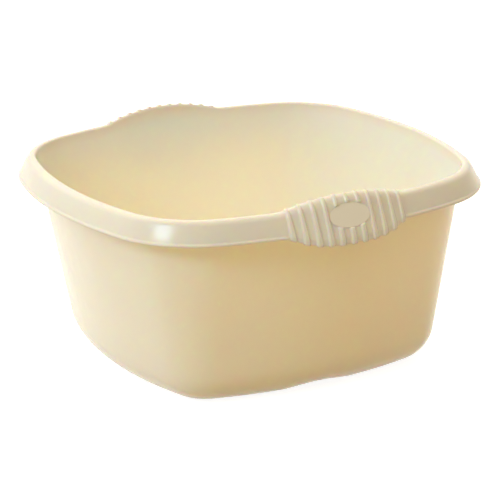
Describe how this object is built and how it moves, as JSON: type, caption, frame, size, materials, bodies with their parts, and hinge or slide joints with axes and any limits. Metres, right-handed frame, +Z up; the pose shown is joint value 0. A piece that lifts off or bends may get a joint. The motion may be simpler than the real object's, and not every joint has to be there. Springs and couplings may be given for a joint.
{
  "type": "plastic basin",
  "caption": "Square bowed plastic basin with tapered walls, a turned-down rim and raised ribbed grips, for washing and for carrying water.",
  "frame": {"origin": "on the surface that the basin stands on, under the middle of its footprint", "axes": "+Z up out of the open mouth, +Y towards the rear grip, -Y towards the front grip, +X along the grips"},
  "size_m": [0.322, 0.33, 0.1609],
  "materials": {
    "cream_plastic": "satin moulded plastic, slightly translucent",
    "cream_plate": "fine matt moulded plastic"
  },
  "bodies": {
    "root": {"basin_shell": "cream_plastic", "front_oval_plate": "cream_plate", "rear_oval_plate": "cream_plate"}
  },
  "joints": []
}
